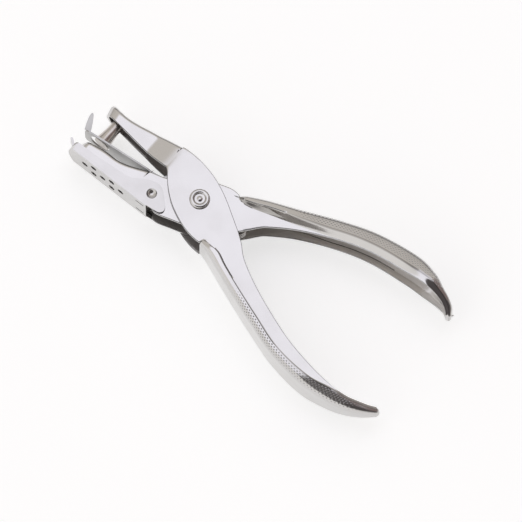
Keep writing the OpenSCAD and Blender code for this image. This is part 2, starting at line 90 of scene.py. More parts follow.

# %% [markdown]
# ## Camera
# The tool lies on a table and is seen steeply from above, with a long lens. The camera looks
# at a point near the crossing of the levers, turned two degrees about its own axis, because
# the photograph's verticals lean by that much. The lens is worked out for a square photograph,
# 522 pixels each way.

# %% Camera
PHOTO_PX = 522
FOCAL_PX = 5325.6
SENSOR = 36.0
DISTANCE = 1800.0
AZIMUTH, ELEVATION, ROLL = radians(-52.976), radians(70.991), radians(2.219)
LOOK_AT = Vector((7.404, -5.049, 14.6))

backward = Vector((cos(ELEVATION) * cos(AZIMUTH), cos(ELEVATION) * sin(AZIMUTH), sin(ELEVATION)))
level = Vector((0, 0, 1)).cross(backward).normalized()
upward = backward.cross(level)
right = cos(ROLL) * level + sin(ROLL) * upward
up = cos(ROLL) * upward - sin(ROLL) * level

camera = bpy.data.objects.new("camera", bpy.data.cameras.new("camera"))
camera.data.sensor_width = SENSOR
camera.data.lens = SENSOR * FOCAL_PX / PHOTO_PX
camera.data.clip_end = 20.0
turn = Matrix((right, up, backward)).transposed().to_4x4()
camera.matrix_world = Matrix.Translation((LOOK_AT + DISTANCE * backward) * MM) @ turn
bpy.context.scene.collection.objects.link(camera)
bpy.context.scene.camera = camera
print("lens", round(camera.data.lens, 1), "mm")

# %% [markdown]
# ## Writing shaders as sums
# A procedural finish is mostly arithmetic on a few patterns. Wiring that by hand is hard to
# read, so `Value` wraps a socket and lets Python's own signs add the Math nodes.

# %% Values as sums


class Value:
    """A number that changes over the surface."""

    def __init__(self, nodes, socket):
        self.nodes = nodes
        self.socket = socket

    def maths(self, operation, *terms):
        return self.nodes.value("ShaderNodeMath", {"operation": operation}, dict(enumerate(terms)))

    def __add__(self, other):
        return self.maths("ADD", self, other)

    def __radd__(self, other):
        return self.maths("ADD", other, self)

    def __sub__(self, other):
        return self.maths("SUBTRACT", self, other)

    def __rsub__(self, other):
        return self.maths("SUBTRACT", other, self)

    def __mul__(self, other):
        return self.maths("MULTIPLY", self, other)

    def __rmul__(self, other):
        return self.maths("MULTIPLY", other, self)

    def __truediv__(self, other):
        return self.maths("DIVIDE", self, other)

    def wrapped(self):
        return self.maths("FRACT", self)

    def root(self):
        return self.maths("SQRT", self)

    def rise(self, start, end):
        """0 below start, 1 above end and a soft step between them."""
        return self.nodes.value("ShaderNodeMapRange", {"interpolation_type": "SMOOTHSTEP"},
                                {"Value": self, "From Min": start, "From Max": end})

    def or_more(self, other):
        """The larger of the two."""
        return self.maths("MAXIMUM", self, other)


# %% [markdown]
# `Nodes` adds any other node from its type, its settings and what goes into its sockets. The
# nodes that every finish needs have a short method of their own.

# %% Node helpers


class Nodes:
    """The node tree of one finish, or of the world."""

    def __init__(self, tree):
        self.tree = tree

    def feed(self, socket, term):
        if isinstance(term, Value):
            self.tree.links.new(term.socket, socket)
        elif isinstance(term, bpy.types.NodeSocket):
            self.tree.links.new(term, socket)
        else:
            socket.default_value = term

    def add(self, kind, settings=None, inputs=None, output=0):
        """A new node's output: its settings and what feeds it go by name, or by number."""
        node = self.tree.nodes.new(kind)
        for name, value in (settings or {}).items():
            setattr(node, name, value)
        for name, term in (inputs or {}).items():
            self.feed(node.inputs[name], term)
        return node.outputs[output]

    def value(self, *args, **kwargs):
        return Value(self, self.add(*args, **kwargs))

    def mix(self, factor, a, b):
        """Between two colours, which on a Mix node are sockets 6 and 7 in, and 2 out."""
        return self.add("ShaderNodeMix", {"data_type": "RGBA"}, {0: factor, 6: a, 7: b}, output=2)

    def noise(self, vector, scale, detail=2.0):
        return self.value("ShaderNodeTexNoise",
                          inputs={"Vector": vector, "Scale": scale, "Detail": detail})

    def place(self, stretch=None, turn=0.0):
        """The object's own coordinates in metres, or stretched and turned for a grain."""
        own = self.add("ShaderNodeTexCoord", output="Object")
        if stretch is None:
            return own
        return self.add("ShaderNodeMapping",
                        inputs={"Vector": own, "Rotation": (0, 0, turn), "Scale": stretch})

    def split(self, vector):
        """The three numbers of a vector."""
        first = self.add("ShaderNodeSeparateXYZ", inputs={0: vector})
        return [Value(self, socket) for socket in first.node.outputs]


def new_finish(name):
    """A new material, its nodes and the sockets of its Principled shader."""
    material = bpy.data.materials.new(name)
    material.use_nodes = True
    nodes = Nodes(material.node_tree)
    shader = next(n for n in material.node_tree.nodes if n.type == "BSDF_PRINCIPLED")
    print("finish:", name)
    return material, nodes, shader.inputs


# %% [markdown]
# ## Studio
# Bright metal shows its surroundings, so the studio is part of the finish. A wide soft light
# hangs overhead, the walls are a warm grey with a window low on one side and darker furniture
# along two others, and on the camera's side stands someone dark who works it, before a
# doorway. The whole room is painted on the world, by direction: a lamp would do for the top
# light, but what stands round the table matters as much in the metal. Each thing is a soft
# patch round the direction where it stands, painted over the ones before it.

# %% World
world = bpy.data.worlds.new("studio")
bpy.context.scene.world = world
world.use_nodes = True
room = Nodes(world.node_tree)
direction = room.add("ShaderNodeTexCoord", output="Generated")


def toward(x, y, z):
    """How near a direction is to this one: 1 straight at it, 0 square to it."""
    aim = Vector((x, y, z)).normalized()
    return room.value("ShaderNodeVectorMath", {"operation": "DOT_PRODUCT"},
                      {0: direction, 1: aim}, output="Value")


across, along, height = room.split(direction)
furniture = ((1.0 - height.rise(0.20, 0.45)) * height.rise(-0.05, 0.05)
             * across.rise(0.45, 0.85).or_more(along.rise(0.30, 0.60)))
window = toward(0.0, -1.0, 0.35).rise(0.45, 0.85)
top_light = toward(0.05, 0.05, 1.0).rise(0.75, 0.87)
figure = (toward(0.42, -0.35, 0.84).rise(0.80, 0.86)
          .or_more(toward(0.60, 0.02, 0.80).rise(0.90, 0.94))
          .or_more(toward(0.42, -0.05, 0.90).rise(0.91, 0.95)))
doorway = toward(0.42, 0.55, 0.70).rise(0.92, 0.96)

seen = room.mix(height.rise(0.0, 0.7), (0.60, 0.57, 0.54, 1), (0.74, 0.70, 0.655, 1))
for share, colour in ((furniture, (0.20, 0.19, 0.185, 1)), (window, (1.02, 1.00, 0.98, 1)),
                      (top_light, (1.27, 1.26, 1.35, 1)), (figure, (0.10, 0.09, 0.09, 1)),
                      (doorway, (0.26, 0.20, 0.19, 1))):
    seen = room.mix(share, seen, colour)
background = next(n for n in world.node_tree.nodes if n.type == "BACKGROUND")
room.feed(background.inputs["Color"], seen)

bpy.context.scene.view_settings.view_transform = "Standard"
print("studio painted with", len(room.tree.nodes), "nodes")

# %% [markdown]
# The table is a plain white sheet, wide enough to fill every view from above. The photograph's
# background is pure white, so the sheet glows a little for the camera and for what the metal
# shows of it, and sheds no light of its own on the tool. Its shadow stays.

# %% Table
TABLE_HALF = 3.0
GLOW = 0.63


def made(lump, name, *finishes):
    """A piece from a bmesh, which is used up, with its finishes."""
    mesh = bpy.data.meshes.new(name)
    lump.to_mesh(mesh)
    lump.free()
    for finish in finishes:
        mesh.materials.append(finish)
    piece = bpy.data.objects.new(name, mesh)
    bpy.context.scene.collection.objects.link(piece)
    return piece


white, nodes, shader = new_finish("white_table")
camera_ray, glossy_ray, through_ray = (
    nodes.value("ShaderNodeLightPath", output=name)
    for name in ("Is Camera Ray", "Is Glossy Ray", "Is Transmission Ray"))
shows = camera_ray.or_more(glossy_ray).or_more(through_ray)
nodes.feed(shader["Emission Color"], nodes.mix(shows, (0, 0, 0, 1), (GLOW, GLOW, GLOW, 1)))
for name, number in (("Emission Strength", 1.0), ("Base Color", (0.60, 0.60, 0.60, 1)),
                     ("Roughness", 0.9), ("Specular IOR Level", 0.0)):
    shader[name].default_value = number

sheet = bmesh.new()
bmesh.ops.create_grid(sheet, x_segments=1, y_segments=1, size=TABLE_HALF)
table = made(sheet, "table", white)
table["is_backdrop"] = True
print("table:", 2 * TABLE_HALF, "m square")

# %% [markdown]
# ## Nickel plate
# The levers and the chip trough are mild steel sheet, pressed, tumbled and nickel plated.
# The plate is bright but not a mirror: the pressing leaves a faint waviness, and handling
# leaves hair scratches and a slight haze. Two noises feed a Bump for that, and a third one
# varies the colour and the roughness. Nickel is a little darker and warmer than chrome.

# %% Plate


def plate_parts(nodes):
    """Haze, roughness and height, in metres, that every plated piece shares."""
    haze = nodes.noise(nodes.place(), 70.0, 3.0)
    wave = nodes.noise(nodes.place(), 45.0, 1.0)
    hair = nodes.noise(nodes.place((90, 2600, 900), radians(24)), 1.0)
    rough = 0.12 + 0.05 * haze.rise(0.42, 0.72) + 0.04 * hair.rise(0.55, 0.75)
    height = 0.000014 * wave + 0.0000006 * hair
    return haze, rough, height


def metal(nodes, shader, colour, rough, height, metallic=1.0, strength=0.6):
    """Sets what a metal needs: its colour, its roughness and its relief in metres."""
    relief = nodes.add("ShaderNodeBump",
                       inputs={"Height": height, "Distance": 1.0, "Strength": strength})
    for name, term in (("Base Color", colour), ("Roughness", rough), ("Metallic", metallic),
                       ("Normal", relief)):
        nodes.feed(shader[name], term)


def plated(name, bright, dull, rougher=0.0, marks=None):
    """Plate between two colours. `marks` gives its own colour and height from these two."""
    finish, nodes, shader = new_finish(name)
    haze, rough, height = plate_parts(nodes)
    colour = nodes.mix(haze.rise(0.3, 0.8), bright, dull)
    if marks:
        colour, height = marks(nodes, colour, height)
    metal(nodes, shader, colour, rough + rougher, height)
    return finish


# %% [markdown]
# A sheared edge is rough and takes little polish, and beside the bright faces its dark colour is
# partly that roughness and partly painted shade, the dark outline of a rim. It could be left to
# its shadow, but a thin rim has none, so it gets a finish of its own.

# %% Cut edges
# dark colour: partly a rough sheared edge, partly painted shade along every rim
cut = plated("cut_edge_and_shade", (0.24, 0.235, 0.23, 1), (0.16, 0.155, 0.15, 1), rougher=0.15)

# %% [markdown]
# The flanks of both grips are knurled: a roller leaves staggered dots there that fade out
# towards the ends, and the bottom of each dot is painted dark as shade. A thin line of painted
# shade also runs along the crease beside a band. Both follow two maps that each lever carries.
# One is in millimetres over the sheet. The other goes from 0 to 1 along the grip, and from 0
# to 3 over the back, the flank and the cheek, so both patterns bend with the sheet.

# %% Nickel with knurled grips
KNURL = 1.3
KNURL_DEPTH = 0.12 * MM
DOT_BOTTOM, DOT_RIM = 0.10, 0.24


def sheet_map(nodes, name):
    """One of a lever's own two maps: millimetres over the sheet, or its zones."""
    return nodes.split(nodes.add("ShaderNodeUVMap", {"uv_map": name}, output="UV"))[:2]


def knurl_and_crease_shade(nodes, colour, height):
    """Staggered dots pressed into the flank of a grip, with painted shade in them and along the
    crease beside it.
    """
    u, v = sheet_map(nodes, "sheet")
    run, zone = sheet_map(nodes, "zones")
    rows = []
    for shift in (0.0, 0.5):
        du = (u / KNURL + shift).wrapped() - 0.5
        dv = (v / KNURL + shift).wrapped() - 0.5
        rows.append(1.0 - (du * du + dv * dv).root().rise(DOT_BOTTOM, DOT_RIM))
    flank = (run.rise(0.20, 0.34) * (1.0 - run.rise(0.84, 0.94))
             * zone.rise(1.25, 1.38) * (1.0 - zone.rise(1.90, 1.97)))
    dots_relief_and_shade = rows[0].or_more(rows[1]) * flank
    # a thin line of painted shade along the crease beside the band
    crease = run.rise(0.10, 0.35) * zone.rise(1.95, 1.985) * (1.0 - zone.rise(2.015, 2.06))
    # the dots' bottoms and the crease are painted darker, as shade; the dots' relief goes to the
    # bump
    colour = nodes.mix(dots_relief_and_shade * 0.8, colour, (0.22, 0.215, 0.21, 1))
    colour = nodes.mix(crease * 0.6, colour, (0.20, 0.185, 0.175, 1))
    return colour, height + dots_relief_and_shade * KNURL_DEPTH


nickel = plated("nickel_plate", (0.640, 0.630, 0.622, 1), (0.600, 0.588, 0.578, 1),
                marks=knurl_and_crease_shade)

# %% [markdown]
# Inside a lever the plate is thinner and dull, and in the narrow jaws it is nearly bare steel.
# In a grip its pale colour also paints light into the shaded inside, and the scooped tips, open
# enough to be polished, are smoother and painted near white as a reflection. The map along the
# grip says which is which: it is below 0 in the jaws and the middle, and near 1 in a tip.

# %% Insides
inside, nodes, shader = new_finish("nickel_inside")
haze, rough, height = plate_parts(nodes)
patches = haze.rise(0.3, 0.75)
run, _ = sheet_map(nodes, "zones")
in_grip, polished_tip_and_reflection = run.rise(-0.008, 0.0), run.rise(0.80, 0.84)
bare = nodes.mix(patches, (0.50, 0.48, 0.465, 1), (0.40, 0.38, 0.365, 1))
dull = nodes.mix(patches, (0.80, 0.77, 0.74, 1), (0.70, 0.67, 0.64, 1))
# the near-white tip colour is a painted reflection, and the pale grip colour paints light into the
# shade
plate = nodes.mix(polished_tip_and_reflection, dull, (0.92, 0.91, 0.90, 1))
metal(nodes, shader, nodes.mix(in_grip, bare, plate), rough + 0.20 - 0.15 * polished_tip_and_reflection,
      height * 2.0, metallic=0.8 - 0.45 * in_grip)

# %% [markdown]
# ## Curves
# The outlines are smooth curves through a few measured stations. `smooth_at` is the usual
# cardinal spline through points or whole rows of numbers, and `look_up` reads the height of
# a curve whose points are given from left to right.

# %% Curve helpers


def smooth_at(stations, share):
    """The row of numbers at a share of the way along the stations."""
    last = len(stations) - 1
    along = min(max(share, 0.0), 1.0) * last
    i = min(int(along), last - 1)
    f = along - i
    a, b = stations[max(i - 1, 0)], stations[i]
    c, d = stations[i + 1], stations[min(i + 2, last)]
    return [0.5 * (2 * q + (r - p) * f + (2 * p - 5 * q + 4 * r - s) * f * f
                   + (3 * q - p - 3 * r + s) * f ** 3) for p, q, r, s in zip(a, b, c, d)]


def look_up(x, curve):
    """Height of the smooth curve at x."""
    if x <= curve[0][0]:
        return curve[0][1]
    for i in range(len(curve) - 1):
        if x <= curve[i + 1][0]:
            share = (i + (x - curve[i][0]) / (curve[i + 1][0] - curve[i][0])) / (len(curve) - 1)
            return smooth_at(curve, share)[1]
    return curve[-1][1]


def blend(a, b, share):
    return a + (b - a) * share


def soft(share):
    """From 0 to 1 without a corner at either end."""
    share = min(max(share, 0.0), 1.0)
    return share * share * (3 - 2 * share)


# %% [markdown]
# ## Sections of a lever
# Each lever is one sheet. Cut across anywhere, it is a flat cheek on each side, and along
# the jaws and the grips also a back that joins the two cheeks. On a grip the back is rolled
# over into a band that stands proud of the cheek, with a crease where the two meet.
# `section` gives half of such a cut as points (u, v): u down from the back towards the open
# edge, v out from the middle of the tool. Each part of it always has the same number of
# points, so that the cuts can be joined up.

# %% Section across a lever
BACK_N, ROLL_N, FLANK_N, CREASE_N, CHEEK_N = 4, 9, 3, 4, 9
FOLD_N = BACK_N + ROLL_N
OPEN_N = FLANK_N + CREASE_N + CHEEK_N
PLAIN_BAND, PLAIN_CREASE = 2.4, 0.28
BACK_RISE = 0.04


def open_part(depth, flat, wide, band, start, crease, tilt=0.0):
    """The flank from the end of the roll to the crease, and the cheek from there down."""
    points = []
    for k in range(FLANK_N):
        u = blend(start, band - crease, k / FLANK_N)
        points.append((u, wide - tilt * (band - crease - u)))
    for k in range(CREASE_N):
        share = k / (CREASE_N - 1)
        points.append((blend(band - crease, band + crease, share), blend(wide, flat, soft(share))))
    for k in range(1, CHEEK_N + 1):
        points.append((blend(band + crease, depth, (k / CHEEK_N) ** 1.2), flat))
    return points


def bowed(a, b, c, d, t):
    """A point of the curve that leaves a towards b and comes to d from c."""
    s = 1 - t
    return tuple(s ** 3 * p + 3 * s * s * t * q + 3 * s * t * t * r + t ** 3 * w
                 for p, q, r, w in zip(a, b, c, d))


def section(depth, flat, wide, band, roll_u, roll_v, crease=PLAIN_CREASE, tilt=0.0):
    """A cut with a back: the back, its rolled corner, the flank, the crease and the cheek."""
    start = wide - min(roll_v, wide * 0.96)
    end = wide - tilt * (band - crease - roll_u)
    corner = ((0, start), (0, blend(start, end, 0.55)),
              (roll_u * 0.45, end - tilt * 0.55 * roll_u), (roll_u, end))
    points = [(-BACK_RISE * (1 - k / BACK_N), start * k / BACK_N) for k in range(BACK_N)]
    points += [bowed(*corner, k / ROLL_N) for k in range(ROLL_N)]
    return points + open_part(depth, flat, wide, band, roll_u, crease, tilt)


print("points across half a lever:", FOLD_N + OPEN_N)

# %% [markdown]
# ## Bending the sheet
# A press shop starts from a flat blank, so the mesh does too: a flat grid, with a row of
# points for each cut across the lever and a column for each point of the section. The two
# maps are written on the blank, and these helpers measure for them: the length round a cut,
# and the zone that a column is in.

# %% Round the sheet


def girth_of(row):
    """Length in mm from the back's middle to each point of a cut."""
    lengths, total, last = [], 0.0, None
    for place in (row if row[0] else row[::-1]):
        if place and last:
            total += (Vector(place) - Vector(last)).length
        last = place or last
        lengths.append(total)
    return lengths if row[0] else lengths[::-1]


def zone_of(j, m):
    """0 to 1 over the back, 1 to 2 over the roll and flank, 2 to 3 over the cheek."""
    k = j if m == FOLD_N + OPEN_N else m - 1 - j
    for zone, (first, last) in enumerate(((0, BACK_N), (BACK_N, FOLD_N + FLANK_N))):
        if k < last:
            return zone + (k - first) / (last - first)
    return 2 + min((k - FOLD_N - FLANK_N) / (OPEN_N - FLANK_N), 1.0)


# %% [markdown]
# Now each point of the blank is carried to its place, points that the sheet doesn't have are
# cut away, and the half is mirrored on the middle plane. The lever isn't one long channel,
# because its fold changes sides, so a plain loft through closed outlines wouldn't do.

# %% Bent sheet
ELSEWHERE = -1.0
WELD = 0.00002


def formed(name, rows, runs):
    """Half a blank bent to its rows of places (None where there is no sheet), mirrored.

    `runs` is each row's length in mm along the grip, or ELSEWHERE on the jaw and the middle.
    """
    blank = bmesh.new()
    n, m = len(rows), len(rows[0])
    bmesh.ops.create_grid(blank, x_segments=n - 1, y_segments=m - 1, size=0.5)
    cells = {v: (round((v.co.x + 0.5) * (n - 1)), round((v.co.y + 0.5) * (m - 1)))
             for v in blank.verts}
    print(name, "blank of", n, "by", m, "points")
    girths = [girth_of(row) for row in rows]
    longest = max(runs)
    sheet = blank.loops.layers.uv.new("sheet")
    zones = blank.loops.layers.uv.new("zones")
    for face in blank.faces:
        for loop in face.loops:
            i, j = cells[loop.vert]
            loop[sheet].uv = (runs[i], girths[i][j])
            loop[zones].uv = (runs[i] / longest, 0 if runs[i] == ELSEWHERE else zone_of(j, m))
    for vert, (i, j) in cells.items():
        if rows[i][j] is not None:
            vert.co = at(*rows[i][j])
    gone = [v for v, (i, j) in cells.items() if rows[i][j] is None]
    bmesh.ops.delete(blank, geom=gone, context="VERTS")
    middle = Matrix.Translation((0, 0, -RIVET.z * MM))
    bmesh.ops.mirror(blank, geom=blank.verts[:] + blank.edges[:] + blank.faces[:],
                     matrix=middle, merge_dist=WELD / 2, axis="Z")
    bmesh.ops.remove_doubles(blank, verts=blank.verts, dist=WELD)
    bmesh.ops.dissolve_degenerate(blank, edges=blank.edges, dist=WELD / 2)
    bmesh.ops.recalc_face_normals(blank, faces=blank.faces)
    near = max(blank.faces, key=lambda f: f.calc_center_median().z)
    if near.normal.z < 0:
        bmesh.ops.reverse_faces(blank, faces=blank.faces)
    return made(blank, name, nickel, inside, cut)


# %% [markdown]
# Modifiers do the finishing: they are easy to set, and `worked_in` makes their result the
# piece's own mesh, for the next step to work on. The last step of every piece is `settled`,
# which shades it smooth but for its true corners.

# %% Modifiers


def modifier(piece, kind, name, **settings):
    new = piece.modifiers.new(name, kind)
    for key, value in settings.items():
        setattr(new, key, value)


def worked_in(piece):
    """The piece's mesh, with its modifiers worked in."""
    bpy.context.view_layer.update()
    graph = bpy.context.evaluated_depsgraph_get()
    mesh = bpy.data.meshes.new_from_object(piece.evaluated_get(graph), depsgraph=graph)
    piece.modifiers.clear()
    old, piece.data = piece.data, mesh
    mesh.name = piece.name
    bpy.data.meshes.remove(old)
    return mesh


def settled(piece, sharp=35):
    """The piece with its modifiers worked in, smooth but for edges sharper than `sharp`."""
    mesh = worked_in(piece)
    mesh.shade_smooth()
    mesh.set_sharp_from_angle(angle=radians(sharp))
    modifier(piece, "WEIGHTED_NORMAL", "even_shading", keep_sharp=True, weight=60)
    return piece


# %% [markdown]
# Corners that the press cut are taken off by a fifth of a millimetre, in the finish of a cut edge,
# whose dark colour, partly rough edge and partly painted shade, draws the thin dark line along
# every rim. A bevel in the bmesh can choose its edges, where a Bevel modifier, kept from
# overlapping, left them sharp. It stops short of the nose and the tips of the grips, where the
# sheet closes and its rows lie too near.

# %% Broken edges
EDGE = 0.20
CUT_FROM, CUT_TO = -43.0, 87.0
STEEPEST_BEND = radians(70)


def break_edges(piece):
    """Takes the corner off the cut edges, in the dark finish of a cut edge, which is partly
    painted shade.
    """
    lump = bmesh.new()
    lump.from_mesh(piece.data)
    corners = [edge for edge in lump.edges
               if edge.calc_face_angle(0.0) > STEEPEST_BEND
               and all(at(CUT_FROM, 0).x < v.co.x < at(CUT_TO, 0).x for v in edge.verts)]
    bevel = bmesh.ops.bevel(lump, geom=corners, offset=EDGE * MM, segments=2, profile=0.5,
                            affect="EDGES", material=-1, clamp_overlap=False)
    for face in bevel["faces"]:
        # the bevel's faces get the dark cut-edge colour, partly painted shade
        face.material_index = piece.data.materials.find(cut.name)
    lump.to_mesh(piece.data)
    lump.free()
    print(piece.name, len(corners), "cut edges broken")


# %% [markdown]
# In the shop the blank is punched before it is bent. Here the holes come last, cut by closed
# cylinders with an exact Boolean, because a hole in a bent grid would pull it out of shape.
# Solidify gives the sheet its millimetre first, with the dull plate on its inner face. The
# rivet sits tight in the punch lever, and the die lever and the catcher turn in looser holes.

# %% Thickness and holes
SHEET = 1.0
SNUG, LOOSE = 2.52, 2.55
THROUGH = 20


def stamped(piece, holes):
    """Gives a bent sheet its thickness, its edges and its holes."""
    modifier(piece, "SOLIDIFY", "sheet", thickness=SHEET * MM, offset=-1.0, use_even_offset=False,
             use_quality_normals=True, material_offset=1)
    worked_in(piece)
    break_edges(piece)
    modifier(piece, "BOOLEAN", "holes", object=holes, operation="DIFFERENCE", solver="EXACT")
    settled(piece)
    bpy.data.objects.remove(holes)


def drills(name, holes):
    """Closed cylinders to cut holes with: places, directions, radii and lengths in mm."""
    tool = bmesh.new()
    for place, axis, radius, length in holes:
        spin = Vector((0, 0, 1)).rotation_difference(Vector(axis)).to_matrix().to_4x4()
        bmesh.ops.create_cone(tool, cap_ends=True, segments=64, radius1=radius * MM,
                              radius2=radius * MM, depth=length * MM,
                              matrix=Matrix.Translation(at(*place)) @ spin)
    return made(tool, name)


# %% [markdown]
# ## Rows of a jaw
# A jaw is a narrow channel, closed at its nose: its first rows fan round a point of the back,
# so that the cheeks meet in a rounded front wall, as a drawn sheet does in its die.

# %% Rows of a jaw
NOSE_N, JAW_N = 12, 34
JAW_BEND = 1.5
NOSE_DROP = 0.9


def stand(a, b, points):
    """Section points stood up between the back at a and the open edge at b."""
    way = (Vector(b) - Vector(a)).normalized()
    return [(a[0] + way.x * u, a[1] + way.y * u, v) for u, v in points]


def jaw_cut(depth, width):
    """A cut across a jaw: no band stands proud there, and the fold is tight."""
    return section(depth, width, width, PLAIN_BAND, JAW_BEND, JAW_BEND)


def jaw_rows(top, bottom, half, rear, nose, radius, lean):
    """A jaw between two curves, from its rounded front wall to its rear."""
    start = nose + radius
    width = half(start)
    rows = []
    for i in range(NOSE_N + 1):
        turn = radians(90) * (1 - i / NOSE_N)
        row = []
        for k, (_, v) in enumerate(jaw_cut(1.0, width)):
            reach = v / width
            x = start - radius * reach * sin(turn)
            a = (x, look_up(x, top) - NOSE_DROP * (reach * sin(turn)) ** 6)
            b = (x - lean * sin(turn) * reach, look_up(x, bottom))
            down = jaw_cut(hypot(b[0] - a[0], b[1] - a[1]), width)[k][0]
            row += stand(a, b, [(down, v * cos(turn))])
        rows.append(row)
    for i in range(1, JAW_N + 1):
        x = blend(start, rear, i / JAW_N)
        a, b = (x, look_up(x, top)), (x, look_up(x, bottom))
        rows.append(stand(a, b, jaw_cut(a[1] - b[1], half(x))))
    return rows


# %% [markdown]
# ## Rows of the middle
# Round the rivet a lever is two flat cheeks and nothing joins them. On the punch lever the
# fold is above in the jaw and below in the grip, so over the middle the points, which lie
# close together by a fold, have to move from one edge to the other.

# %% Rows of the middle
MIDDLE_N = 5
NO_FOLD = [None] * FOLD_N


def turned_over(points, depth):
    """The same points, counted from the other edge of the sheet."""
    return [(depth - u, v) for u, v in reversed(points)]


def middle_rows(ends, half, swaps):
    """Flat cheeks. With `swaps`, their points go over to the spacing of the other edge."""
    rows = []
    steps = (len(ends) - 1) * MIDDLE_N
    for i in range(steps + 1):
        x0, y0, x1, y1 = smooth_at(ends, i / steps)
        depth, width = hypot(x1 - x0, y1 - y0), half(x0)
        points = open_part(depth, width, width, PLAIN_BAND, 0.0, PLAIN_CREASE)
        if swaps:
            points = [(blend(u, over, soft(i / steps)), v)
                      for (u, v), (over, _) in zip(points, turned_over(points, depth))]
        rows.append(stand((x0, y0), (x1, y1), points))
    return rows


# %% [markdown]
# ## Rows of a grip
# A grip runs through stations read off the photograph: open edge, back, width over the
# cheeks, width over the band and how deep the band is. Its last rows turn in towards the
# middle, which closes the tip.

# %% Rows of a grip
GRIP_N, TIP_N = 110, 6
GRIP_HALF = 8.2
BAND, GRIP_BEND = 3.0, 3.0
LEAST_BAND, LEAST_CREASE, LEAST_CHEEK = 1.2, 0.25, 0.25
TIP_REACH = 1.3


def grip_rows(stations, back_first, tilt, roll, step):
    """A grip: its flank leans by `tilt`, its back rolls over by `roll` of the band's depth, and
    its crease widens to `step` over the first two fifths."""
    rows = []
    for i in range(GRIP_N + TIP_N + 1):
        share = min(i / GRIP_N, 1.0)
        x0, y0, x1, y1, flat, wide, deep = smooth_at(stations, share)
        wide = min(wide / 2, GRIP_HALF)
        flat = min(flat / 2, wide)
        edge, back = Vector((x0, y0)), Vector((x1, y1))
        depth = (back - edge).length
        crease = step * blend(0.3, 1.0, soft(share / 0.4))
        crease = min(max(LEAST_CREASE, crease), 0.2 * depth)
        band = min(max(BAND * deep, LEAST_BAND), depth - crease - LEAST_CHEEK)
        points = section(depth, flat, wide, band, roll * (band - crease), GRIP_BEND, crease, tilt)
        if back_first:
            row = stand(back, edge, points)
        else:
            points = turned_over(points, depth)
            row = stand(edge, back, points)
        if i > GRIP_N:
            turn = radians(90) * (i - GRIP_N) / TIP_N
            ahead = Vector((back.y - edge.y, edge.x - back.x)).normalized() * TIP_REACH * sin(turn)
            ahead = ahead if ahead.x > 0 else -ahead
            arch = [sqrt(max(0.0, 1 - (2 * u / depth - 1) ** 2)) for u, _ in points]
            row = [(x + ahead.x * k, y + ahead.y * k, z * cos(turn))
                   for (x, y, z), k in zip(row, arch)]
        rows.append(row)
    return rows


def run_along(rows, column):
    """Length in mm from the first row to each row, along one column."""
    lengths = [0.0]
    for before, row in zip(rows, rows[1:]):
        lengths.append(lengths[-1] + (Vector(row[column]) - Vector(before[column])).length)
    return lengths


print("rows of a grip:", GRIP_N + TIP_N + 1)

# %% [markdown]
# ## Punch lever
# The lever that carries the punch: a narrow upper jaw, which widens in a soft joggle to the
# outer cheeks of the crossing, and below them the lower grip. Its jaw is folded along the
# top and its grip along the bottom, so the cheek is all that runs through. Its curves and
# stations were read off the photograph, in millimetres from the rivet.

# %% Outlines of the punch lever
upper_top = [(-47, 10.4), (-44.6, 9.4), (-42, 8.6), (-38.5, 8.3), (-34.4, 8.65), (-28.8, 9.6),
             (-22.9, 10.5), (-16, 11.2)]
upper_bottom = [(-47, 4.9), (-37.4, 3.9), (-26.8, 2.6), (-21.5, 2.1), (-16, 2.0)]
punch_middle = [
    (-16.25, 11.25, -16.25, 1.75), (-14.0, 11.3, -14.9, 0.7), (-11.0, 11.25, -12.6, -2.0),
    (-8.0, 10.95, -10.0, -4.5), (-4.5, 10.3, -6.7, -7.05), (-0.8, 9.3, -2.9, -9.1),
    (3.7, 7.45, 1.1, -10.8), (8.2, 5.05, 5.0, -11.8), (12.0, 2.7, 8.0, -12.1),
    (14.3, 1.3, 9.4, -12.1)]
punch_grip = [
    (14.6, 1.1, 9.7, -12.1, 12.8, 13.2, 0.6), (17.6, -0.8, 12.9, -12.9, 12.8, 15.7, 0.85),
    (20.9, -3.2, 15.9, -14.0, 12.8, 16.4, 1.1), (25.3, -7.05, 20.4, -15.8, 12.8, 16.4, 1.0),
    (33.2, -11.4, 29.2, -19.2, 12.8, 16.4, 1.0), (42.7, -15.5, 40.0, -23.1, 13.1, 16.4, 1.0),
    (55.0, -19.85, 53.0, -27.3, 13.6, 16.4, 0.95), (67.5, -22.5, 67.0, -29.3, 14.2, 16.2, 1.15),
    (76.5, -23.2, 77.4, -28.3, 12.9, 13.7, 1.4), (82.0, -22.6, 84.0, -26.5, 10.4, 11.1, 1.3),
    (86.2, -21.2, 88.6, -24.3, 8.1, 8.7, 1.2), (89.4, -19.95, 91.5, -22.3, 6.3, 6.9, 1.1),
    (91.8, -18.6, 93.4, -20.6, 4.8, 5.3, 1.0)]
print("stations along the lower grip:", len(punch_grip))

# %% [markdown]
# In the joggle the sheet bends outwards, sharply beside the narrow jaw and softly where it
# comes to the cheeks. A soft step would bend alike at both ends, so `ramp` has a bend of its
# own length at each.

# %% Joggle
JOGGLE = (-26.1, -12.0)
UPPER_HALF, OUTER_HALF = 4.15, 6.4


def ramp(share, start, end):
    """A slope from 0 to 1 with a soft bend of these lengths at its ends."""
    share = min(max(share, 0.0), 1.0)
    slope = 1 / (1 - (start + end) / 2)
    if share < start:
        return slope * share * share / (2 * start)
    if share > 1 - end:
        return 1 - slope * (1 - share) ** 2 / (2 * end)
    return slope * (share - start / 2)


def upper_half(x):
    """Half the lever's width, from the narrow jaw over the joggle to the outer cheeks."""
    share = (x - JOGGLE[0]) / (JOGGLE[1] - JOGGLE[0])
    return blend(UPPER_HALF, OUTER_HALF, ramp(share, 0.04, 0.50))


print("half a width amid the joggle:", round(upper_half(sum(JOGGLE) / 2), 2), "mm")

